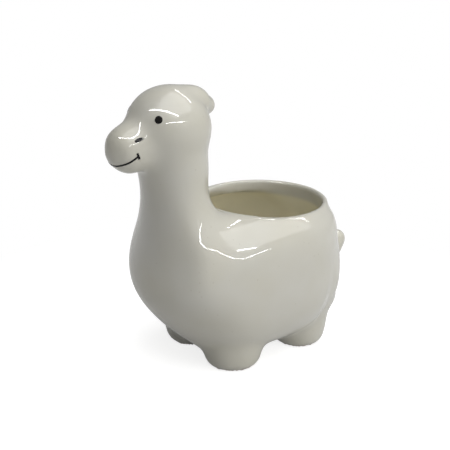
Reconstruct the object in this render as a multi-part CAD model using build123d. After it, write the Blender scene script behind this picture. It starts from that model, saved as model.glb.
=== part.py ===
"""Planter in the shape of a long-necked animal: a glazed pot, a hollow neck and head, and four stub legs.

Frame: millimetres, +Z up, the animal looks along -Y, its left side is +X.
The origin is on the table, under the middle of the overall box.

The trunk, the neck and the head follow one soft form. Its sections are upright across the trunk,
turn like a fan about a pivot behind the neck, and lie level in the neck and the head.
"""

from build123d import *

import os
from math import atan2, cos, degrees, pi, radians, sin

# Clay, glaze and paint
WALL = 4.0
PAINT = 0.3

# Trunk
TRUNK_REAR = 44.5
TRUNK_WIDTH = 95.0
TRUNK_TOP = 83.0
TRUNK_CENTRE_Y = 14.0
BELLY_GAP = 2.0

# Hollow of the back, between the trunk and the neck
BACK_RADIUS = 9.0
NECK_SETBACK = 19.0

# Neck and head, measured up from the pivot of the turning sections
NECK_DEPTH = 31.0
NECK_WIDTH = 45.0
THROAT_RISE = 11.5
THROAT_DEPTH = 33.0
THROAT_WIDTH = 41.0
JAW_RISE = 21.5
JAW_DEPTH = 35.5
JAW_WIDTH = 41.0
HEAD_RISE = 37.0
HEAD_LENGTH = 43.0
HEAD_WIDTH = 44.0
HEAD_LEAN = 4.0
CROWN_HEIGHT = 21.2
LUTE_RISE = 7.5

# Snout, from the middle of the head
SNOUT_REACH = 21.5
SNOUT_DROP = 7.0
SNOUT_RADIUS = 12.6
SNOUT_ROOT_WIDTH = 38.0

# Crest, from the middle of the head to a blunt tip behind it
CREST_ROOT_REACH = 4.0
CREST_ROOT_RISE = 12.4
CREST_ROOT_RADIUS = 8.2
CREST_TIP_REACH = 23.6
CREST_TIP_RISE = 8.6
CREST_TIP_RADIUS = 3.5
CREST_FLATNESS_SHARE = 0.85
ROUND_SHARE = 1.0

# Tail, a short horn that leaves the rump and turns up
TAIL_ROOT_INSET = 16.0
TAIL_ROOT_Z = 26.0
TAIL_ROOT_RADIUS = 10.0
TAIL_REACH = 21.0
TAIL_TIP_Z = 46.0
TAIL_TIP_RADIUS = 5.6

# Legs
LEG_TOP = 30.0
LEG_RADIUS = 16.0
FRONT_LEG_SPREAD = 19.0
FRONT_LEG_Y = -10.0
REAR_LEG_SPREAD = 17.5
REAR_LEG_Y = 36.5

# Opening for the plant
OPENING_DIAMETER = 60.0
OPENING_CENTRE_Y = 21.0
OPENING_DEPTH = 20.0
RIM_REAR_DROP = 3.5
LIP_BEVEL = 1.2
LIP_FLARE = 6.0

# Painted marks
EYE_DIAMETER = 3.9
EYE_TURN = 44.6
EYE_PITCH = 23.6
NOSTRIL_LENGTH = 4.4
NOSTRIL_SETBACK = -1.5
NOSTRIL_OUT = 10.7
NOSTRIL_RISE = 6.4
NOSTRIL_SLOPE = 11.0
LINE_WIDTH = 1.0
MOUTH_CORNER_SETBACK = -2.7
MOUTH_CORNER_DROP = 1.2
MOUTH_SLOPE = 38.0
TICK_LENGTH = 3.4
TICK_SLOPE = 110.0

# Shares of the belly reach and of the half width, at each turn of the chest's sections
CHEST_TURNS = (0.0, 22.5, 45.0, 67.5)
CHEST_REACH_SHARES = (1.0, 0.855, 0.675, 0.475)
CHEST_WIDTH_SHARES = (0.97, 0.89, 0.73, 0.58)

# Leg section: shares of the leg's height and radius, from the sole up
LEG_HEIGHT_SHARES = (0.0, 0.05, 0.17, 0.38, 0.62, 1.0)
LEG_RADIUS_SHARES = (0.69, 0.82, 0.94, 1.0, 1.06, 1.18)

# Snout section: shares of its reach from the tip's centre back to the head, and of its widening
SNOUT_BACK_SHARES = (0.0, 0.2, 0.4, 0.6, 0.75)
SNOUT_FLARE_SHARES = (0.0, 0.2, 0.45, 0.75, 1.0)

# Powers of the rounded sections: 2 is an ellipse, more is squarer
TRUNK_BACK_POWER = 5.0
TRUNK_RUMP_POWER = 3.4
TRUNK_PLAN_POWER = 2.35
TRUNK_TOP_POWER = 5.0
BELLY_POWER = 2.0
CHEST_TOP_POWERS = (4.4, 2.9, 2.4, 2.2)
CHEST_FRONT_POWERS = (2.0, 2.0, 2.0, 2.0)
ROUND_POWER = 2.0

HALF_LOOP_STEPS = 12
REAR_STEPS = 9
CROWN_STEPS = 5
CAP_STEPS = 4
HORN_STEPS = 12
CAP_TURN = 87.0

TRUNK_HEIGHT = TRUNK_TOP - BELLY_GAP
TRUNK_MIDDLE_Z = TRUNK_TOP - TRUNK_HEIGHT / 2
TRUNK_END_Y = TRUNK_CENTRE_Y + TRUNK_REAR
PIVOT_Y = BACK_RADIUS - NECK_SETBACK
PIVOT_Z = TRUNK_TOP + BACK_RADIUS
BELLY_REACH = PIVOT_Z - BELLY_GAP
HEAD_Y = -NECK_SETBACK - NECK_DEPTH / 2 - HEAD_LEAN
HEAD_Z = PIVOT_Z + HEAD_RISE
SNOUT_Y = HEAD_Y - SNOUT_REACH
SNOUT_Z = HEAD_Z - SNOUT_DROP
LUTE_Z = PIVOT_Z + LUTE_RISE


def half_loop(half_width, near, far, near_power, far_power):
    """Left half of a rounded section, as a smooth wire between two points of the middle plane."""
    middle = (near + far) / 2
    half = (far - near) / 2
    points = []
    for k in range(HALF_LOOP_STEPS + 1):
        turn = pi * k / HALF_LOOP_STEPS
        along = cos(turn)
        across = sin(turn)
        power = far_power if along > 0 else near_power
        size = (abs(along) ** power + abs(across) ** power) ** (-1 / power)
        sideways = half_width * across * size if 0 < k < HALF_LOOP_STEPS else 0
        points.append(middle + half * (along * size) + Vector(sideways, 0, 0))
    steps = [k / HALF_LOOP_STEPS for k in range(HALF_LOOP_STEPS + 1)]
    outward = [Vector(1, 0, 0), Vector(-1, 0, 0)]
    return Wire(Edge.make_spline(points, tangents=outward, parameters=steps))


def section(half_width, near, far, near_power=ROUND_POWER, far_power=ROUND_POWER):
    """Half section between two (y, z) points of the middle plane."""
    return half_loop(half_width, Vector(0, *near), Vector(0, *far), near_power, far_power)


def mirrored_solid(sections):
    """Closed solid through half sections, mirrored in the animal's middle plane."""
    side = Shell.make_loft(sections).faces()
    faces = side + [face.mirror(Plane.YZ) for face in side]
    for end in (sections[0].edge(), sections[-1].edge()):
        faces.append(Face(Wire([end, end.mirror(Plane.YZ)])))
    return Solid(Shell(faces))


def rear_sections(grow):
    """Upright sections of the trunk's rear half, from the rear end forward."""
    sections = []
    half_height = TRUNK_HEIGHT / 2 + grow
    half_width = TRUNK_WIDTH / 2 + grow
    for k in range(REAR_STEPS + 1):
        turn = radians(CAP_TURN * (1 - k / REAR_STEPS))
        back = sin(turn) ** (2 / TRUNK_BACK_POWER)
        high = (1 - back**TRUNK_BACK_POWER) ** (1 / TRUNK_BACK_POWER)
        low = (1 - back**TRUNK_RUMP_POWER) ** (1 / TRUNK_RUMP_POWER)
        wide = (1 - back**TRUNK_PLAN_POWER) ** (1 / TRUNK_PLAN_POWER)
        y = TRUNK_CENTRE_Y + (TRUNK_REAR + grow) * back
        top = (y, TRUNK_MIDDLE_Z + half_height * high)
        bottom = (y, TRUNK_MIDDLE_Z - half_height * low)
        sections.append(section(half_width * wide, top, bottom, TRUNK_TOP_POWER, BELLY_POWER))
    return sections


def fan_section(turn, reach, half_width, near_power, far_power, grow):
    """Section in a plane through the pivot: 0 is upright and faces down, 90 is level."""
    ray = Vector(0, -sin(radians(turn)), -cos(radians(turn)))
    pivot = Vector(0, PIVOT_Y, PIVOT_Z)
    near = pivot + ray * (BACK_RADIUS - grow)
    far = pivot + ray * (reach + grow)
    return half_loop(half_width + grow, near, far, near_power, far_power)


def chest_sections(grow):
    """Sections that turn about the pivot, from the trunk to the root of the neck."""
    sections = []
    for k, turn in enumerate(CHEST_TURNS):
        reach = BELLY_REACH * CHEST_REACH_SHARES[k]
        half_width = TRUNK_WIDTH / 2 * CHEST_WIDTH_SHARES[k]
        powers = (CHEST_TOP_POWERS[k], CHEST_FRONT_POWERS[k])
        sections.append(fan_section(turn, reach, half_width, *powers, grow))
    neck_reach = BACK_RADIUS + NECK_DEPTH
    sections.append(fan_section(90, neck_reach, NECK_WIDTH / 2, ROUND_POWER, ROUND_POWER, grow))
    return sections


def level_section(centre_y, z, length, width):
    """Level oval half section of the neck or the head."""
    return section(width / 2, (centre_y + length / 2, z), (centre_y - length / 2, z))


def head_sections(grow):
    """Level sections from the throat to the crown."""
    sections = []
    for rise, depth, width in (
        (THROAT_RISE, THROAT_DEPTH, THROAT_WIDTH),
        (JAW_RISE, JAW_DEPTH, JAW_WIDTH),
    ):
        centre_y = -NECK_SETBACK - depth / 2
        sections.append(level_section(centre_y, PIVOT_Z + rise, depth + 2 * grow, width + 2 * grow))
    for k in range(CROWN_STEPS + 1):
        turn = radians(CAP_TURN * k / CROWN_STEPS)
        z = HEAD_Z + (CROWN_HEIGHT + grow) * sin(turn)
        length = (HEAD_LENGTH + 2 * grow) * cos(turn)
        width = (HEAD_WIDTH + 2 * grow) * cos(turn)
        sections.append(level_section(HEAD_Y, z, length, width))
    return sections


def ring(centre, across, radius, flatness=ROUND_SHARE):
    """Half of a round section about a centre, with its ends on the middle plane."""
    near = centre - across * radius
    far = centre + across * radius
    return half_loop(radius * flatness, near, far, ROUND_POWER, ROUND_POWER)


def rounded_tip(centre, forward, radius, flatness=ROUND_SHARE):
    """Shrinking rings of a round end, from the tip back, that stop before the full ring."""
    across = forward.cross(Vector(1, 0, 0))
    rings = []
    for k in range(CAP_STEPS, 0, -1):
        turn = radians(CAP_TURN * k / CAP_STEPS)
        rings.append(ring(centre + forward * (radius * sin(turn)), across, radius * cos(turn), flatness))
    return rings


def snout(grow):
    """Round snout that widens into the cheeks."""
    tip = Vector(0, SNOUT_Y, SNOUT_Z)
    back = Vector(0, HEAD_Y, HEAD_Z) - tip
    forward = back.normalized() * -1
    across = forward.cross(Vector(1, 0, 0))
    radius = SNOUT_RADIUS + grow
    widening = SNOUT_ROOT_WIDTH / 2 / SNOUT_RADIUS - 1
    sections = rounded_tip(tip, forward, radius)
    for back_share, flare_share in zip(SNOUT_BACK_SHARES, SNOUT_FLARE_SHARES):
        sections.append(ring(tip + back * back_share, across, radius, 1 + widening * flare_share))
    return mirrored_solid(sections)


def horn(path, tip_radius, root_radius, flatness=ROUND_SHARE):
    """Tapering horn along a curve of the middle plane, from its root to a rounded tip."""
    sections = rounded_tip(path @ 1, path % 1, tip_radius, flatness)
    for k in range(HORN_STEPS + 1):
        along = 1 - k / HORN_STEPS
        across = (path % along).cross(Vector(1, 0, 0))
        radius = root_radius + (tip_radius - root_radius) * along
        sections.append(ring(path @ along, across, radius, flatness))
    return mirrored_solid(sections)


def crest(form):
    """Blunt crest that carries the line of the crown on behind the head."""
    root = Vector(0, HEAD_Y + CREST_ROOT_REACH, HEAD_Z + CREST_ROOT_RISE)
    tip = Vector(0, HEAD_Y + CREST_TIP_REACH, HEAD_Z + CREST_TIP_RISE)
    path = Edge.make_tangent_arc(root, Vector(0, 1, 0), tip)
    return horn(path, CREST_TIP_RADIUS, CREST_ROOT_RADIUS, CREST_FLATNESS_SHARE) - form


def tail(form):
    """Short tail that leaves the rump level and turns up to a rounded tip."""
    root = Vector(0, TRUNK_END_Y - TAIL_ROOT_INSET, TAIL_ROOT_Z)
    tip = Vector(0, TRUNK_END_Y + TAIL_REACH, TAIL_TIP_Z)
    path = Edge.make_tangent_arc(root, Vector(0, 1, 0), tip)
    return horn(path, TAIL_TIP_RADIUS, TAIL_ROOT_RADIUS) - form


def animal(grow=0.0):
    """Trunk, neck and head as one form, grown or shrunk by an even amount."""
    body = mirrored_solid(rear_sections(grow) + chest_sections(grow) + head_sections(grow))
    return body + snout(grow)


def above(z):
    """All that lies over a level, as one large box."""
    size = (TRUNK_HEIGHT + TRUNK_REAR + HEAD_Z) * 2
    return Pos(0, 0, z) * Box(size, size, size, align=(Align.CENTER, Align.CENTER, Align.MIN))


def opening_cutter():
    """Round plug through the top of the trunk, square to the slanting rim, with a flare for the lip."""
    radius = OPENING_DIAMETER / 2
    slant = degrees(atan2(-RIM_REAR_DROP, OPENING_DIAMETER))
    plug = Pos(0, 0, -OPENING_DEPTH / 2) * Cylinder(radius, OPENING_DEPTH)
    flare = Pos(0, 0, LIP_FLARE / 2 - LIP_BEVEL) * Cone(radius, radius + LIP_FLARE, LIP_FLARE)
    return Pos(0, OPENING_CENTRE_Y, TRUNK_TOP - RIM_REAR_DROP / 2) * Rot(slant, 0, 0) * (plug + flare)


def pot_body(shell):
    """Trunk with the open top and its bevelled lip."""
    return shell - above(LUTE_Z) - opening_cutter()


def leg(x, y, form):
    """Stub leg with a rounded sole, cut off where it meets the trunk."""
    sections = []
    for height_share, radius_share in zip(LEG_HEIGHT_SHARES, LEG_RADIUS_SHARES):
        circle = Pos(x, y, LEG_TOP * height_share) * Circle(LEG_RADIUS * radius_share)
        sections.append(circle.wire())
    return Solid.make_loft(sections) - form


def painted(stroke, coat, form):
    """Film of paint on the glaze, as thick as the coat, where a stroke's prism meets the surface."""
    return (stroke & coat) - form


def eye_stroke(side):
    """Round prism from inside the head out through the eye."""
    turn = radians(EYE_TURN)
    pitch = radians(EYE_PITCH)
    out = Vector(side * sin(turn) * cos(pitch), -cos(turn) * cos(pitch), sin(pitch))
    start = Vector(0, HEAD_Y, HEAD_Z) + out * (HEAD_WIDTH / 4)
    return extrude(Plane(start, z_dir=out) * Circle(EYE_DIAMETER / 2), HEAD_WIDTH / 2, dir=out)


def nostril_stroke(side):
    """Short slot-shaped prism from inside the snout out through the nostril."""
    out = Vector(side * NOSTRIL_OUT, NOSTRIL_SETBACK, NOSTRIL_RISE)
    slope = radians(NOSTRIL_SLOPE)
    start = Vector(0, SNOUT_Y, SNOUT_Z) + out / 2
    plane = Plane(start, x_dir=Vector(0, cos(slope), sin(slope)), z_dir=out)
    return extrude(plane * SlotOverall(NOSTRIL_LENGTH, LINE_WIDTH), SNOUT_RADIUS, dir=out)


def mouth_stroke():
    """Slanting slab for the smile around the snout, and a tick across each corner of the mouth."""
    corner = Pos(0, SNOUT_Y + MOUTH_CORNER_SETBACK, SNOUT_Z - MOUTH_CORNER_DROP)
    reach = SNOUT_RADIUS * 2
    smile = Box(HEAD_WIDTH, reach, LINE_WIDTH, align=(Align.CENTER, Align.MAX, Align.CENTER))
    tick = Box(HEAD_WIDTH, TICK_LENGTH, LINE_WIDTH)
    return corner * Rot(MOUTH_SLOPE, 0, 0) * smile + corner * Rot(TICK_SLOPE, 0, 0) * tick


def main():
    """Build the pieces and write one file for each."""
    os.makedirs("parts", exist_ok=True)
    form = animal()
    coat = animal(PAINT)
    shell = form - animal(-WALL)
    pieces = {
        "pot_body": pot_body(shell),
        "neck_and_head": shell & above(LUTE_Z),
        "head_crest": crest(form),
        "tail": tail(form),
        "left_eye": painted(eye_stroke(1), coat, form),
        "right_eye": painted(eye_stroke(-1), coat, form),
        "left_nostril": painted(nostril_stroke(1), coat, form),
        "right_nostril": painted(nostril_stroke(-1), coat, form),
        "mouth_line": painted(mouth_stroke(), coat, form),
        "front_left_leg": leg(FRONT_LEG_SPREAD, FRONT_LEG_Y, form),
        "rear_left_leg": leg(REAR_LEG_SPREAD, REAR_LEG_Y, form),
        "front_right_leg": leg(-FRONT_LEG_SPREAD, FRONT_LEG_Y, form),
        "rear_right_leg": leg(-REAR_LEG_SPREAD, REAR_LEG_Y, form),
    }
    middle_y = Compound(list(pieces.values())).bounding_box().center().Y
    for name, piece in pieces.items():
        export_step(Pos(0, -middle_y, 0) * piece, f"parts/{name}.step")


main()
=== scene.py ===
"""Dresses the animal shaped planter: one glazed skin over the luted castings, and its painted face.

Metres, +Z up. The animal looks along -Y and its left side is +X. The skin starts from copies of the
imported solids, so it follows them; the soft fillets that glaze and clay have at every joint are added.
"""

import logging
import math
from dataclasses import dataclass, field
from enum import Enum
from typing import Callable, Sequence

import bpy
from mathutils import Euler, Matrix, Vector


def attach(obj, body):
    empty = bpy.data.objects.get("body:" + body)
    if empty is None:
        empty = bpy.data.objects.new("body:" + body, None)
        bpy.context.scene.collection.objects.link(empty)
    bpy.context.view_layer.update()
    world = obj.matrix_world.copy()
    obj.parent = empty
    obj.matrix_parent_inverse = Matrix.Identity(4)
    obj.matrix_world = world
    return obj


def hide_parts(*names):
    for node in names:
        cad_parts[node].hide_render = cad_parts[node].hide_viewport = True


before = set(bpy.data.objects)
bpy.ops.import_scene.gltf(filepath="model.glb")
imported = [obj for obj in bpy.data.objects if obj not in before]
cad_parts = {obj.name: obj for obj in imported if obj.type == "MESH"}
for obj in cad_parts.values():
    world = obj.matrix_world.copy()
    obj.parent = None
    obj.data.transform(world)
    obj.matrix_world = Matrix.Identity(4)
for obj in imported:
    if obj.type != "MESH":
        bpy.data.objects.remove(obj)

LOG = logging.getLogger("planter")
MM = 0.001
MERGE_GAP = 1e-6
SMOOTH_STEP = 0.5
CORE_SHARE = 0.35
BODY = "root"
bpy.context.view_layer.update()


class Slot(Enum):
    """Material slots of the record."""

    GLAZE = "glazed_ceramic"
    PAINT = "fired_paint"


# Helpers for working by operators


def deselect() -> None:
    """Clear the selection and leave edit mode."""
    if bpy.context.object and bpy.context.object.mode != "OBJECT":
        bpy.ops.object.mode_set(mode="OBJECT")
    bpy.ops.object.select_all(action="DESELECT")


def pick(piece: bpy.types.Object, *others: bpy.types.Object) -> bpy.types.Object:
    """Select a piece alone, or with others, and make it active.

    Args:
        piece: the object that becomes active.
        others: objects that are selected with it.

    Returns:
        The active object.
    """
    deselect()
    for item in (piece, *others):
        item.select_set(True)
    bpy.context.view_layer.objects.active = piece
    return piece


def edit(piece: bpy.types.Object, work: Callable[[], None]) -> None:
    """Run operators on the whole of a piece in edit mode.

    Args:
        piece: the mesh object.
        work: the operators to run with everything selected.
    """
    pick(piece)
    bpy.ops.object.mode_set(mode="EDIT")
    bpy.ops.mesh.select_all(action="SELECT")
    work()
    bpy.ops.object.mode_set(mode="OBJECT")


def settle(piece: bpy.types.Object) -> bpy.types.Object:
    """Apply a piece's place, turn and size to its mesh, so that its object sits at the origin.

    Args:
        piece: the object.

    Returns:
        The same object.
    """
    pick(piece)
    bpy.ops.object.transform_apply(location=True, rotation=True, scale=True)
    return piece


def modify(piece: bpy.types.Object, kind: str, **values: object) -> None:
    """Add a modifier with the given values and apply it.

    Args:
        piece: the mesh object.
        kind: the modifier's type.
        values: its properties.
    """
    pick(piece)
    modifier = piece.modifiers.new(kind.title(), kind)
    for key, value in values.items():
        setattr(modifier, key, value)
    bpy.ops.object.modifier_apply(modifier=modifier.name)


def smooth(piece: bpy.types.Object, passes: int, group: str = "") -> None:
    """Smooth a piece by small steps.

    Args:
        piece: the mesh object.
        passes: how many times it is smoothed.
        group: the vertex group that says how much, or nothing for the whole piece.
    """
    modify(piece, "SMOOTH", factor=SMOOTH_STEP, iterations=passes, vertex_group=group)


def choose(piece: bpy.types.Object, kind: str, wanted: Callable[[bpy.types.bpy_struct], bool]) -> None:
    """Select some points or faces of a piece and nothing else, for the operators of edit mode.

    Args:
        piece: the mesh object, which becomes active.
        kind: "vertices" or "polygons".
        wanted: says whether a point or face is selected.
    """
    pick(piece)
    kinds = ("vertices", "edges", "polygons")
    bpy.context.tool_settings.mesh_select_mode = tuple(each == kind for each in kinds)
    for each in kinds:
        items = getattr(piece.data, each)
        items.foreach_set("select", [each == kind and wanted(item) for item in items])


def discard(piece: bpy.types.Object) -> None:
    """Delete a helper piece that has done its work.

    Args:
        piece: the helper.
    """
    pick(piece)
    bpy.ops.object.delete()


def copy_of(node: str, name: str) -> bpy.types.Object:
    """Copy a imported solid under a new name, with its loose triangles merged.

    Args:
        node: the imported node.
        name: the name of the copy.

    Returns:
        The copy, with a mesh of its own and no material.
    """
    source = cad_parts[node]
    piece = bpy.data.objects.new(name, source.data.copy())
    piece.data.materials.clear()
    bpy.context.scene.collection.objects.link(piece)
    edit(piece, lambda: bpy.ops.mesh.remove_doubles(threshold=MERGE_GAP))
    return piece


def grouped(piece: bpy.types.Object, name: str, weight: Callable[[bpy.types.MeshVertex], float]) -> str:
    """Give a piece a vertex group whose weights come from the points' places.

    Args:
        piece: the mesh object.
        name: the group's name.
        weight: gives a point's weight, from 0 to 1.

    Returns:
        The group's name.
    """
    group = piece.vertex_groups.new(name=name)
    for point in piece.data.vertices:
        value = weight(point)
        if value > 0:
            group.add([point.index], min(value, 1.0), "REPLACE")
    return name


def fade(distance: float, full: float, none: float) -> float:
    """Give a weight that falls softly with distance.

    Args:
        distance: the distance.
        full: the distance up to which the weight is 1.
        none: the distance from which it is 0.

    Returns:
        The weight.
    """
    share = min(max((none - distance) / (none - full), 0.0), 1.0)
    return share * share * (3 - 2 * share)


# Sub-assemblies


@dataclass(frozen=True)
class Lump:
    """A rounded lump of clay, in millimetres, that is fused into the skin."""

    name: str
    centre: tuple[float, float, float]
    radii: tuple[float, float, float]
    tilt: float = 0.0

    def build(self) -> bpy.types.Object:
        """Add the lump as a scaled ball.

        Returns:
            The lump's object, with its place in its mesh.
        """
        deselect()
        bpy.ops.mesh.primitive_ico_sphere_add(subdivisions=5, radius=1.0)
        piece = bpy.context.object
        piece.name = self.name
        piece.scale = Vector(self.radii) * MM
        piece.rotation_euler = Euler((math.radians(self.tilt), 0, 0))
        piece.location = Vector(self.centre) * MM
        return settle(piece)


@dataclass(frozen=True)
class Region:
    """A soft egg-shaped region of the skin, in millimetres, where the modeller's thumb works.

    The height is how far the outer skin is drawn out at its middle, or pressed in where it is
    negative, and a region of no height is only smoothed.
    """

    place: tuple[float, float, float]
    reach: tuple[float, float, float]
    height: float = 0.0

    def weight(self, spot: Vector) -> float:
        """Give the region's weight at a spot.

        Args:
            spot: the spot, in millimetres.

        Returns:
            The weight, 1 in the region's core and 0 at its reach.
        """
        away = [(a - b) / r for a, b, r in zip(spot, self.place, self.reach)]
        return fade(math.sqrt(sum(step * step for step in away)), CORE_SHARE, 1.0)

    def mirrored(self) -> "Region":
        """Give the same region on the animal's other side.

        Returns:
            The mirrored region.
        """
        return Region((-self.place[0], *self.place[1:]), self.reach, self.height)


def both_sides(regions: Sequence[Region]) -> list[Region]:
    """List regions with their mirrored twins.

    Args:
        regions: those of the left side.

    Returns:
        Those of both sides.
    """
    return [twin for region in regions for twin in (region, region.mirrored())]


@dataclass
class RimCollar:
    """The upright lip band round the opening, in millimetres.

    The near_lip distances bound the zone that smoothing leaves alone. The margin and facing tell the
    inner wall from the outer skin.
    """

    centre_y: float = 16.8
    outer_radius: float = 35.6
    inner_radius: float = 32.5
    top: float = 81.6
    band: float = 7.0
    rear_start_y: float = 44.0
    rear_slope: float = 4.0
    rear_depth: float = 20.0
    plug_depth: float = 21.0
    plug_head: float = 10.0
    facets: int = 128
    near_lip: tuple[float, float] = (2.5, 8.0)
    margin: float = 1.0
    facing: float = 0.3

    def drum(self, name: str, radius: float, low: float, high: float) -> bpy.types.Object:
        """Add an upright drum on the opening's axis.

        Args:
            name: its name.
            radius: its radius.
            low: the height of its bottom.
            high: the height of its top.

        Returns:
            The drum, with its place in its mesh.
        """
        deselect()
        bpy.ops.mesh.primitive_cylinder_add(
            vertices=self.facets,
            radius=radius * MM,
            depth=(high - low) * MM,
            location=Vector((0, self.centre_y, (low + high) / 2)) * MM,
        )
        piece = bpy.context.object
        piece.name = name
        return settle(piece)

    def build(self) -> list[bpy.types.Object]:
        """Make the band and the taller wall at the rear, both open in the middle.

        Returns:
            The two pieces.
        """
        band = self.drum("lip_band", self.outer_radius, self.top - self.band, self.top)
        rear = self.drum("rear_wall", self.outer_radius, self.top - self.rear_depth, self.top)

        def slant() -> None:
            """Cut the lower front of the wall away on a slant."""
            bpy.ops.mesh.bisect(
                plane_co=Vector((0, self.rear_start_y, self.top - self.band)) * MM,
                plane_no=Vector((0, self.rear_slope, 1)).normalized(),
                clear_inner=True,
                use_fill=True,
            )

        edit(rear, slant)
        plug = self.plug()
        for ring in (band, rear):
            modify(ring, "BOOLEAN", operation="DIFFERENCE", object=plug, solver="EXACT")
        discard(plug)
        return [band, rear]

    def plug(self) -> bpy.types.Object:
        """Make the plug that clears the opening.

        Returns:
            The plug.
        """
        return self.drum("plug", self.inner_radius, self.top - self.plug_depth, self.top + self.plug_head)

    def nearness(self, spot: Vector) -> float:
        """Say how near a spot is to the lip.

        Args:
            spot: the spot, in millimetres.

        Returns:
            A weight, 1 on the lip and 0 away from it.
        """
        out = math.hypot(spot.x, spot.y - self.centre_y) - (self.inner_radius + self.outer_radius) / 2
        return fade(math.hypot(out, spot.z - self.top), *self.near_lip)

    def inside(self, spot: Vector, normal: Vector) -> bool:
        """Say whether a spot lies on the inner wall of the pot.

        Args:
            spot: the spot, in millimetres.
            normal: the skin's outward direction there.

        Returns:
            Whether it does.
        """
        heart = Vector((0, self.centre_y, self.top / 2))
        rear = self.centre_y + self.outer_radius + self.margin
        within = spot.z < self.top + self.margin and -self.outer_radius < spot.y < rear
        return within and normal.dot((spot - heart).normalized()) < -self.facing


@dataclass
class GlazedSkin:
    """The whole glazed casting, fused into one closed skin with soft joints, in millimetres."""

    nodes: tuple[str, ...] = (
        "pot_body",
        "neck_and_head",
        "head_crest",
        "tail",
        "front_left_leg",
        "front_right_leg",
        "rear_left_leg",
        "rear_right_leg",
    )
    rim: RimCollar = field(default_factory=RimCollar)
    fuse_voxel: float = 1.0
    skin_voxel: float = 1.1
    calm_passes: int = 5
    blend_passes: int = 112
    shoulder_passes: int = 630
    swell_passes: int = 4
    blend_floor: float = 4.0
    swell_floor: float = 2.0
    sole_height: float = 0.5
    sole_edge: float = 1.3
    lip_band: float = 6.5
    tint_fade: float = 3.0

    def lumps(self) -> list[Lump]:
        """List the lumps that fill out the crest and the tail.

        Returns:
            The lumps.
        """
        return [
            Lump("crest_root", (0, -30.6, 141.6), (9.0, 11.5, 7.2), tilt=-24),
            Lump("crest_lobe", (0, -22.4, 138.0), (5.0, 5.6, 5.2), tilt=-35),
            Lump("tail_root", (0, 53.5, 28.0), (10.5, 9.0, 11.5), tilt=20),
        ]

    def joints(self) -> list[Region]:
        """List the joints that are smoothed over.

        Returns:
            The joints, those of the left side mirrored.
        """
        middle = [
            Region((0, -54, 128), (27, 27, 27)),
            Region((0, -36, 146), (16, 13, 12)),
            Region((0, 54, 30), (22, 22, 24)),
            Region((0, 46, 72), (34, 16, 12)),
        ]
        left = [
            Region((19, -16.2, 16), (25, 25, 25)),
            Region((17.5, 30.3, 18), (28, 28, 26)),
        ]
        return middle + both_sides(left)

    def shoulders(self) -> list[Region]:
        """List the slopes between the neck and the flanks, which are smoothed the most.

        Returns:
            The slopes, those of the left side mirrored.
        """
        left = [
            Region((32, -14, 66), (40, 34, 44)),
            Region((24, -24, 84), (26, 26, 26)),
        ]
        return both_sides(left)

    def swells(self) -> list[Region]:
        """List where the outer skin is drawn out or pressed in.

        Returns:
            The regions, those of the left side mirrored.
        """
        left = [
            Region((26, 43, 42), (24, 22, 26), 2.0),
            Region((16, -27, 10), (18, 14, 16), 1.0),
            Region((37, 30, 36), (9, 9, 22), -0.9),
            Region((2, -34, 149), (14, 17, 9), 0.3),
        ]
        return both_sides(left)

    def soften(self, skin: bpy.types.Object, name: str, regions: Sequence[Region], passes: int) -> None:
        """Smooth the skin over some regions, but not at the lip or the soles.

        Args:
            skin: the glazed skin.
            name: the name of the regions' vertex group.
            regions: the regions.
            passes: how many times the skin is smoothed.
        """

        def weight(point: bpy.types.MeshVertex) -> float:
            """Weight of the strongest region at a point, away from the lip."""
            spot = point.co / MM
            if spot.z < self.blend_floor:
                return 0.0
            return max(region.weight(spot) for region in regions) * (1 - self.rim.nearness(spot))

        smooth(skin, passes, grouped(skin, name, weight))

    def build(self) -> bpy.types.Object:
        """Fuse the copies and the lumps, cut the opening, and model the surface.

        Returns:
            The skin.
        """
        parts = [copy_of(node, f"{node}_copy") for node in self.nodes]
        parts += [lump.build() for lump in self.lumps()]
        parts += self.rim.build()
        skin = pick(parts[0], *parts[1:])
        bpy.ops.object.join()
        skin.name = "glazed_skin"
        modify(skin, "REMESH", mode="VOXEL", voxel_size=self.fuse_voxel * MM)
        plug = self.rim.plug()
        modify(skin, "BOOLEAN", operation="DIFFERENCE", object=plug, solver="EXACT")
        discard(plug)
        modify(skin, "REMESH", mode="VOXEL", voxel_size=self.skin_voxel * MM)
        smooth(skin, self.calm_passes)
        self.soften(skin, "joints", self.joints(), self.blend_passes)
        self.soften(skin, "shoulders", self.shoulders(), self.shoulder_passes)
        self.swell(skin)
        self.flatten_soles(skin)
        skin.vertex_groups.clear()
        self.mark(skin)
        pick(skin)
        bpy.ops.object.shade_smooth()
        return skin

    def swell(self, skin: bpy.types.Object) -> None:
        """Draw the outer skin out or press it in over the swells, and calm it again.

        Args:
            skin: the glazed skin.
        """
        for number, region in enumerate(self.swells()):

            def weight(point: bpy.types.MeshVertex, region: Region = region) -> float:
                """Weight of the region at a point of the outer skin."""
                spot = point.co / MM
                return 0.0 if self.rim.inside(spot, point.normal) else region.weight(spot)

            values = {"direction": "NORMAL", "mid_level": 0, "strength": region.height * MM}
            modify(skin, "DISPLACE", vertex_group=grouped(skin, f"swell_{number}", weight), **values)
        calm = grouped(skin, "calm", lambda point: 0.0 if point.co.z < self.swell_floor * MM else 1.0)
        smooth(skin, self.swell_passes, calm)

    def flatten_soles(self, skin: bpy.types.Object) -> None:
        """Press the lowest points of the feet flat onto the ground.

        Args:
            skin: the glazed skin.
        """
        choose(skin, "vertices", lambda point: point.co.z < self.sole_height * MM)
        bpy.ops.object.mode_set(mode="EDIT")
        bpy.ops.transform.resize(value=(1, 1, 0), center_override=(0, 0, 0))
        bpy.ops.object.mode_set(mode="OBJECT")

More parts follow.
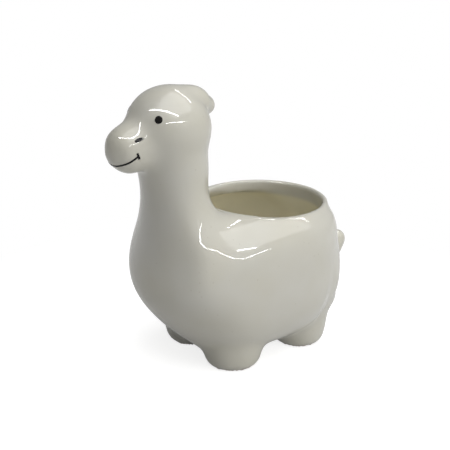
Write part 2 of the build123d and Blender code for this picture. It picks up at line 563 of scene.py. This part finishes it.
    def mark(self, skin: bpy.types.Object) -> None:
        """Note on the skin where the inner wall and the bare soles are, for the glaze to read.

        Args:
            skin: the glazed skin.
        """
        hollow = skin.data.attributes.new("hollow", "FLOAT", "POINT")
        bare = skin.data.attributes.new("bare", "FLOAT", "POINT")
        floor = self.rim.top - self.lip_band
        for point in skin.data.vertices:
            spot = point.co / MM
            # Inner wall below the lip band takes the warmer inner glaze, which is also painted lighter to
            # offset the shade in the pot.
            if self.rim.inside(spot, point.normal):
                hollow.data[point.index].value = fade(spot.z, floor - self.tint_fade, floor)
            else:
                bare.data[point.index].value = fade(spot.z, self.sole_height, self.sole_edge)

    def dress(self, skin: bpy.types.Object, glaze: bpy.types.Material) -> None:
        """Give the skin its glaze and let it stand for the castings.

        Args:
            skin: the glazed skin.
            glaze: its material.
        """
        skin.data.materials.clear()
        skin.data.materials.append(glaze)
        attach(skin, BODY)
        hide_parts(*self.nodes)
        triangles = sum(len(face.vertices) - 2 for face in skin.data.polygons)
        LOG.info("%s: %d triangles", skin.name, triangles)


@dataclass
class PaintedFace:
    """The black painted marks, as thin films on the glaze, in millimetres.

    A mark's outer face is the part that faces away from the heart of the head or of the snout.
    """

    marks: tuple[str, ...] = ("left_eye", "right_eye", "left_nostril", "right_nostril", "mouth_line")
    film: float = 0.12
    lift: float = 0.14
    head_heart: tuple[float, float, float] = (0, -44.7, 129)
    snout_heart: tuple[float, float, float] = (0, -60.2, 122)
    facing: float = 0.5
    edge_degrees: float = 40.0
    stroke_cuts: int = 2
    brush_swell: float = 1.8
    brush_taper: float = 1.3

    def build(self, skin: bpy.types.Object) -> list[bpy.types.Object]:
        """Lay a film for each mark onto the skin.

        Args:
            skin: the glazed skin that the films lie on.

        Returns:
            The films.
        """
        return [self.lay(mark, skin) for mark in self.marks]

    def lay(self, mark: str, skin: bpy.types.Object) -> bpy.types.Object:
        """Copy a mark's outer face, lay it on the skin and give it a thickness.

        Args:
            mark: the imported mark.
            skin: the glazed skin.

        Returns:
            The film.
        """
        piece = copy_of(mark, f"{mark}_paint")
        heart = Vector(self.head_heart if "eye" in mark else self.snout_heart) * MM
        choose(
            piece,
            "polygons",
            lambda face: face.normal.dot((face.center - heart).normalized()) < self.facing,
        )
        bpy.ops.object.mode_set(mode="EDIT")
        bpy.ops.mesh.delete(type="FACE")
        bpy.ops.object.mode_set(mode="OBJECT")
        if "nostril" in mark:
            modify(piece, "SUBSURF", subdivision_type="SIMPLE", levels=self.stroke_cuts)
            self.leaf(piece)
        wrap = {"wrap_method": "NEAREST_SURFACEPOINT", "wrap_mode": "ABOVE_SURFACE"}
        modify(piece, "SHRINKWRAP", target=skin, offset=self.lift * MM, **wrap)
        modify(piece, "SOLIDIFY", thickness=self.film * MM, offset=-1.0)
        bpy.ops.object.shade_smooth_by_angle(angle=math.radians(self.edge_degrees))
        low, high = (Vector(corner) / MM for corner in (piece.bound_box[0], piece.bound_box[6]))
        LOG.info("%s: %d faces, %s to %s", piece.name, len(piece.data.polygons), low, high)
        return piece

    def leaf(self, piece: bpy.types.Object) -> None:
        """Widen a stroke in its middle and thin it at its ends, as a brush lays it.

        Args:
            piece: the stroke's face, before it is laid on the skin.
        """
        spots = [vertex.co.copy() for vertex in piece.data.vertices]
        middle = sum(spots, Vector()) / len(spots)
        tip = max(spots, key=lambda spot: (spot - middle).length) - middle
        for vertex, spot in zip(piece.data.vertices, spots):
            share = (spot - middle).dot(tip) / tip.length_squared
            core = middle + share * tip
            vertex.co = core + (spot - core) * (self.brush_swell - self.brush_taper * share**2)

    def dress(self, films: Sequence[bpy.types.Object], paint: bpy.types.Material) -> None:
        """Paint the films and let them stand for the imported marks.

        Args:
            films: the films, in the order of the marks.
            paint: their material.
        """
        for mark, film in zip(self.marks, films):
            film.data.materials.clear()
            film.data.materials.append(paint)
            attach(film, BODY)
            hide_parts(mark)


# Finishes


def linear(red: int, green: int, blue: int) -> tuple[float, float, float, float]:
    """Turn a colour as a screen shows it into linear light.

    Args:
        red: the red step, from 0 to 255.
        green: the green step.
        blue: the blue step.

    Returns:
        The colour in linear light, with full cover.
    """

    def channel(value: int) -> float:
        """Turn one step into linear light."""
        share = value / 255
        return share / 12.92 if share <= 0.04045 else ((share + 0.055) / 1.055) ** 2.4

    return channel(red), channel(green), channel(blue), 1.0


def new_material(name: str) -> tuple[bpy.types.Material, bpy.types.Node]:
    """Make a node material with one Principled shader.

    Args:
        name: the material's name.

    Returns:
        The material and its shader node.
    """
    material = bpy.data.materials.new(name)
    material.use_nodes = True
    return material, material.node_tree.nodes["Principled BSDF"]


@dataclass
class Sheet:
    """A node tree that is filled node by node."""

    tree: bpy.types.NodeTree

    def feed(self, socket: bpy.types.NodeSocket, value: object) -> None:
        """Give an input its value.

        Args:
            socket: the input.
            value: a source socket that is linked to it, or a plain value.
        """
        if isinstance(value, bpy.types.NodeSocket):
            self.tree.links.new(value, socket)
        else:
            socket.default_value = value

    def add(
        self, kind: str, values: dict[str, object] | None = None, **settings: object
    ) -> bpy.types.Node:
        """Add a node.

        Args:
            kind: the node's type, without its ShaderNode prefix.
            values: plain values or source sockets, by the name of the node's input.
            settings: the node's own properties.

        Returns:
            The node.
        """
        node = self.tree.nodes.new(f"ShaderNode{kind}")
        for key, value in settings.items():
            setattr(node, key, value)
        for key, value in (values or {}).items():
            self.feed(node.inputs[key], value)
        return node

    def place(self) -> bpy.types.NodeSocket:
        """Give the place on the piece, in metres.

        Returns:
            The place.
        """
        return self.add("TexCoord").outputs["Object"]

    def noise(self, size: float, detail: float = 2.0) -> bpy.types.NodeSocket:
        """Give an even noise from 0 to 1.

        Args:
            size: about how large its lumps are, in metres.
            detail: how many finer steps it has.

        Returns:
            The noise.
        """
        values = {"Vector": self.place(), "Scale": 1 / size, "Detail": detail}
        return self.add("TexNoise", values).outputs["Fac"]

    def spread(
        self, source: object, low: float, high: float, start: float = 0.0, end: float = 1.0
    ) -> bpy.types.NodeSocket:
        """Map a range of a source onto another, clamped.

        Args:
            source: the socket to map.
            low: its value that becomes the start.
            high: its value that becomes the end.
            start: the mapped start.
            end: the mapped end.

        Returns:
            The mapped socket.
        """
        values = {"Value": source, "From Min": low, "From Max": high, "To Min": start, "To Max": end}
        return self.add("MapRange", values).outputs["Result"]

    def math(self, operation: str, first: object, second: object) -> bpy.types.NodeSocket:
        """Join two values by one operation.

        Args:
            operation: the operation's name.
            first: a socket or a number.
            second: a socket or a number.

        Returns:
            The result.
        """
        node = self.add("Math", operation=operation)
        for socket, value in zip(node.inputs, (first, second)):
            self.feed(socket, value)
        return node.outputs[0]

    def blend(self, share: object, first: object, second: object) -> bpy.types.NodeSocket:
        """Blend two colours.

        Args:
            share: how much of the second one shows, a socket or a number from 0 to 1.
            first: a socket or a colour.
            second: a socket or a colour.

        Returns:
            The blended colour.
        """
        node = self.add("Mix", data_type="RGBA")
        for number, value in ((0, share), (6, first), (7, second)):
            self.feed(node.inputs[number], value)
        return node.outputs[2]


class FiredSurface:
    """Shader group for what every fired coat shows: slow waves, fine peel, specks and mottle.

    Sizes are in metres, and the speck share is a part of the gap between specks.
    """

    name = "fired_surface"
    wave_size = 0.016
    peel_size = 0.0022
    speck_gap = 0.0055
    speck_share = 0.09
    mottle_size = 0.03
    mottle_range = (0.3, 0.7)

    @classmethod
    def group(cls) -> bpy.types.NodeTree:
        """Give the group, and make it the first time.

        Returns:
            The group, which puts out a height, a mask of specks and a mottle.
        """
        if cls.name in bpy.data.node_groups:
            return bpy.data.node_groups[cls.name]
        tree = bpy.data.node_groups.new(cls.name, "ShaderNodeTree")
        for label in ("Waves", "Peel"):
            tree.interface.new_socket(label, in_out="INPUT", socket_type="NodeSocketFloat")
        for label in ("Height", "Specks", "Mottle"):
            tree.interface.new_socket(label, in_out="OUTPUT", socket_type="NodeSocketFloat")
        sheet = Sheet(tree)
        given = tree.nodes.new("NodeGroupInput")
        result = tree.nodes.new("NodeGroupOutput")
        waves = sheet.math("MULTIPLY", sheet.noise(cls.wave_size, detail=1.0), given.outputs["Waves"])
        peel = sheet.math("MULTIPLY", sheet.noise(cls.peel_size), given.outputs["Peel"])
        cells = sheet.add("TexVoronoi", {"Vector": sheet.place(), "Scale": 1 / cls.speck_gap})
        specks = sheet.spread(cells.outputs["Distance"], cls.speck_share / 2, cls.speck_share, 1.0, 0.0)
        tree.links.new(sheet.math("ADD", waves, peel), result.inputs["Height"])
        tree.links.new(specks, result.inputs["Specks"])
        mottle = sheet.spread(sheet.noise(cls.mottle_size), *cls.mottle_range)
        tree.links.new(mottle, result.inputs["Mottle"])
        return tree

    @classmethod
    def on(cls, sheet: Sheet, shader: bpy.types.Node, waves: float, peel: float) -> bpy.types.Node:
        """Place the group in a material and let its height move the shader's normal.

        Args:
            sheet: the material's node tree.
            shader: its Principled shader.
            waves: the height of the slow waves, in metres.
            peel: the height of the orange peel, in metres.

        Returns:
            The group's node.
        """
        node = sheet.tree.nodes.new("ShaderNodeGroup")
        node.node_tree = cls.group()
        node.inputs["Waves"].default_value = waves
        node.inputs["Peel"].default_value = peel
        bump = sheet.add("Bump", {"Height": node.outputs["Height"], "Distance": 1.0})
        for socket in ("Normal", "Coat Normal"):
            sheet.tree.links.new(bump.outputs["Normal"], shader.inputs[socket])
        return node


@dataclass(frozen=True)
class Glaze:
    """Glossy off-white glaze, warmer where it lies thick inside the pot and also painted lighter there, a
    painted light that offsets the shade in the hollow, over a bare tan clay at the soles.
    """

    pale: tuple[int, int, int] = (214, 212, 202)
    warm: tuple[int, int, int] = (210, 207, 193)
    speck: tuple[int, int, int] = (176, 168, 148)
    # Colour inside the pot: the glaze's own warmer tint, made lighter as painted light against the shade
    # of the hollow.
    inner_warmth_and_painted_light: tuple[int, int, int] = (240, 234, 208)
    clay: tuple[int, int, int] = (150, 118, 84)
    roughness: float = 0.42
    roughness_range: float = 0.05
    clay_roughness: float = 0.85
    coat: float = 0.9
    body_shine: float = 0.2
    coat_roughness: float = 0.02
    waves: float = 0.00022
    peel: float = 0.000006
    speck_strength: float = 0.25

    def material(self) -> bpy.types.Material:
        """Make the glaze.

        Returns:
            The material.
        """
        material, shader = new_material("off_white_glaze")
        sheet = Sheet(material.node_tree)
        surface = FiredSurface.on(sheet, shader, self.waves, self.peel)
        hollow = sheet.add("Attribute", attribute_name="hollow").outputs["Fac"]
        bare = sheet.add("Attribute", attribute_name="bare").outputs["Fac"]
        tone = sheet.blend(surface.outputs["Mottle"], linear(*self.pale), linear(*self.warm))
        specks = sheet.math("MULTIPLY", surface.outputs["Specks"], self.speck_strength)
        tone = sheet.blend(specks, tone, linear(*self.speck))
        # Inside the pot the glaze is warmer and also painted lighter, a painted light that offsets the
        # shade in the hollow.
        tone = sheet.blend(hollow, tone, linear(*self.inner_warmth_and_painted_light))
        tone = sheet.blend(bare, tone, linear(*self.clay))
        ends = (self.roughness - self.roughness_range, self.roughness + self.roughness_range)
        rough = sheet.spread(surface.outputs["Mottle"], 0, 1, *ends)
        rough = sheet.math("MAXIMUM", rough, sheet.math("MULTIPLY", bare, self.clay_roughness))
        gloss = sheet.math("MULTIPLY", sheet.math("SUBTRACT", 1.0, bare), self.coat)
        sheet.tree.links.new(tone, shader.inputs["Base Color"])
        sheet.tree.links.new(rough, shader.inputs["Roughness"])
        sheet.tree.links.new(gloss, shader.inputs["Coat Weight"])
        shader.inputs["Coat Roughness"].default_value = self.coat_roughness
        shader.inputs["Specular IOR Level"].default_value = self.body_shine
        return material


@dataclass(frozen=True)
class FiredPaint:
    """Glossy black overglaze paint, a little browner where the brush left it thin."""

    thick: tuple[int, int, int] = (9, 8, 8)
    thin: tuple[int, int, int] = (24, 21, 18)
    thin_size: float = 0.0015
    thin_range: tuple[float, float] = (0.45, 0.75)
    roughness: float = 0.2
    thin_rougher: float = 0.15
    shine: float = 0.25
    waves: float = 0.00012
    peel: float = 0.00001

    def material(self) -> bpy.types.Material:
        """Make the paint.

        Returns:
            The material.
        """
        material, shader = new_material("black_fired_paint")
        sheet = Sheet(material.node_tree)
        FiredSurface.on(sheet, shader, self.waves, self.peel)
        thin = sheet.spread(sheet.noise(self.thin_size), *self.thin_range)
        tone = sheet.blend(thin, linear(*self.thick), linear(*self.thin))
        sheet.tree.links.new(tone, shader.inputs["Base Color"])
        rough = sheet.spread(thin, 0, 1, self.roughness, self.roughness + self.thin_rougher)
        sheet.tree.links.new(rough, shader.inputs["Roughness"])
        shader.inputs["Specular IOR Level"].default_value = self.shine
        return material


# Studio


class Use(Enum):
    """What a lamp does: lights and shines, only lights, or only shines in the glaze."""

    BOTH = "both"
    LIGHT = "light"
    SHINE = "shine"


@dataclass(frozen=True)
class Lamp:
    """A soft rectangular lamp, in degrees, metres and watts; azimuth 0 is in front of the animal."""

    name: str
    azimuth: float
    elevation: float
    distance: float
    size: tuple[float, float]
    power: float
    use: Use = Use.BOTH


def outward(azimuth: float, elevation: float) -> tuple[Vector, Vector]:
    """Give the directions that place a lamp or the camera.

    Args:
        azimuth: the turn in degrees, 0 in front of the animal.
        elevation: the rise in degrees.

    Returns:
        The direction away from the planter, and the level direction to its right.
    """
    turn, rise = math.radians(azimuth), math.radians(elevation)
    flat = math.cos(rise)
    out = Vector((math.sin(turn) * flat, -math.cos(turn) * flat, math.sin(rise)))
    return out, Vector((math.cos(turn), math.sin(turn), 0))


@dataclass
class Studio:
    """Pale floor, soft lamps and the camera at the photograph's angle, in metres and degrees."""

    azimuth: float = 53.2
    elevation: float = 19.2
    roll: float = 0.8
    distance: float = 0.5
    aim: tuple[float, float, float] = (0.0, -0.00619, 0.075)
    focal: float = 933.7
    centre: tuple[float, float] = (229.0, 216.7)
    frame_px: float = 450.0
    sensor: float = 36.0
    floor_radius: float = 3.0
    floor_facets: int = 96
    floor_grey: float = 0.58
    floor_lift: float = 0.80
    white_from_to: tuple[float, float] = (0.08, 0.20)
    gloss_share: float = 0.25
    room_light: float = 0.12
    lamps: tuple[Lamp, ...] = (
        Lamp("overhead", 112, 76, 1.6, (2.0, 1.8), 23.0),
        Lamp("side_fill", 106, 10, 1.8, (1.8, 1.3), 15.5, Use.LIGHT),
        Lamp("brow_strip", 34, 60, 1.0, (1.5, 0.045), 9.0, Use.SHINE),
        Lamp("side_strip", 78, 31, 1.0, (1.0, 0.017), 2.2, Use.SHINE),
        Lamp("rear_strip", -160, 50, 1.0, (0.6, 0.014), 1.4, Use.SHINE),
    )

    def camera(self) -> bpy.types.Object:
        """Place the camera.

        Returns:
            The camera object.
        """
        back, level = outward(self.azimuth, self.elevation)
        roll = math.radians(self.roll)
        upright = back.cross(level)
        right = level * math.cos(roll) + upright * math.sin(roll)
        up = upright * math.cos(roll) - level * math.sin(roll)
        data = bpy.data.cameras.new("camera")
        data.sensor_width = self.sensor
        data.sensor_fit = "HORIZONTAL"
        data.lens = self.focal / self.frame_px * self.sensor
        data.shift_x = (self.frame_px / 2 - self.centre[0]) / self.frame_px
        data.shift_y = (self.centre[1] - self.frame_px / 2) / self.frame_px
        camera = bpy.data.objects.new("camera", data)
        self.hang(camera, Matrix((right, up, back)), self.distance)
        bpy.context.scene.camera = camera
        return camera

    def hang(self, body: bpy.types.Object, axes: Matrix, distance: float) -> None:
        """Put a lamp or the camera in its place, facing the planter.

        Args:
            body: the lamp's or camera's object.
            axes: its right, up and back directions.
            distance: how far it is from the planter.
        """
        place = Vector(self.aim) + axes[2] * distance
        body.matrix_world = Matrix.Translation(place) @ axes.transposed().to_4x4()
        bpy.context.scene.collection.objects.link(body)

    def lamp(self, lamp: Lamp) -> None:
        """Hang a lamp that faces the planter.

        Args:
            lamp: the lamp.
        """
        out, level = outward(lamp.azimuth, lamp.elevation)
        data = bpy.data.lights.new(lamp.name, "AREA")
        data.shape = "RECTANGLE"
        data.size, data.size_y = lamp.size
        data.energy = lamp.power
        body = bpy.data.objects.new(lamp.name, data)
        body.visible_diffuse = lamp.use is not Use.SHINE
        body.visible_glossy = lamp.use is not Use.LIGHT
        self.hang(body, Matrix((level, out.cross(level), out)), lamp.distance)

    def floor(self) -> None:
        """Lay the pale floor, which keeps the shadow near the planter and turns white farther out."""
        deselect()
        size = {"vertices": self.floor_facets, "radius": self.floor_radius}
        bpy.ops.mesh.primitive_circle_add(fill_type="NGON", **size)
        plane = bpy.context.object
        plane.name = "floor"
        material = bpy.data.materials.new("pale_floor")
        material.use_nodes = True
        sheet = Sheet(material.node_tree)
        sheet.tree.nodes.clear()
        plain = sheet.add("BsdfDiffuse", {"Color": (*[self.floor_grey] * 3, 1)})
        lift = sheet.math("MULTIPLY", self.seen(sheet), self.floor_lift)
        near = sheet.add("Emission", {"Strength": lift})
        both = sheet.add("AddShader")
        sheet.tree.links.new(plain.outputs[0], both.inputs[0])
        sheet.tree.links.new(near.outputs[0], both.inputs[1])
        white = sheet.add("Emission", {"Strength": 1.0})
        length = sheet.add("VectorMath", {0: sheet.place()}, operation="LENGTH").outputs["Value"]
        far = sheet.math("MULTIPLY", sheet.spread(length, *self.white_from_to), self.seen(sheet))
        mix = sheet.add("MixShader", {"Fac": far})
        sheet.tree.links.new(both.outputs[0], mix.inputs[1])
        sheet.tree.links.new(white.outputs[0], mix.inputs[2])
        out = sheet.add("OutputMaterial")
        sheet.tree.links.new(mix.outputs[0], out.inputs["Surface"])
        plane.data.materials.append(material)

    def seen(self, sheet: Sheet) -> bpy.types.NodeSocket:
        """Give how plainly a ray sees the white set: full for the camera, less in a gloss.

        Args:
            sheet: the node tree that asks.

        Returns:
            The share, from 0 to 1.
        """
        path = sheet.add("LightPath")
        gloss = sheet.math("MULTIPLY", path.outputs["Is Glossy Ray"], self.gloss_share)
        clear = sheet.math("MAXIMUM", path.outputs["Is Camera Ray"], path.outputs["Is Transmission Ray"])
        return sheet.math("MAXIMUM", clear, gloss)

    def world(self) -> None:
        """Make the pale surroundings, white where the camera sees them and dimmer as a light."""
        world = bpy.data.worlds.new("surroundings")
        bpy.context.scene.world = world
        world.use_nodes = True
        sheet = Sheet(world.node_tree)
        ground = world.node_tree.nodes["Background"]
        level = sheet.spread(self.seen(sheet), 0, 1, self.room_light, 1.0)
        sheet.tree.links.new(level, ground.inputs["Strength"])
        ground.inputs["Color"].default_value = (1, 1, 1, 1)

    def build(self) -> None:
        """Set the whole studio up."""
        self.camera()
        self.floor()
        self.world()
        for lamp in self.lamps:
            self.lamp(lamp)
        bpy.context.scene.view_settings.view_transform = "Standard"


def main() -> None:
    """Build the planter and its studio."""
    logging.basicConfig(level=logging.INFO, format="%(name)s %(message)s")
    Studio().build()
    casting = GlazedSkin()
    skin = casting.build()
    casting.dress(skin, Glaze().material())
    face = PaintedFace()
    films = face.build(skin)
    face.dress(films, FiredPaint().material())
    deselect()


if __name__ == "__main__":
    main()
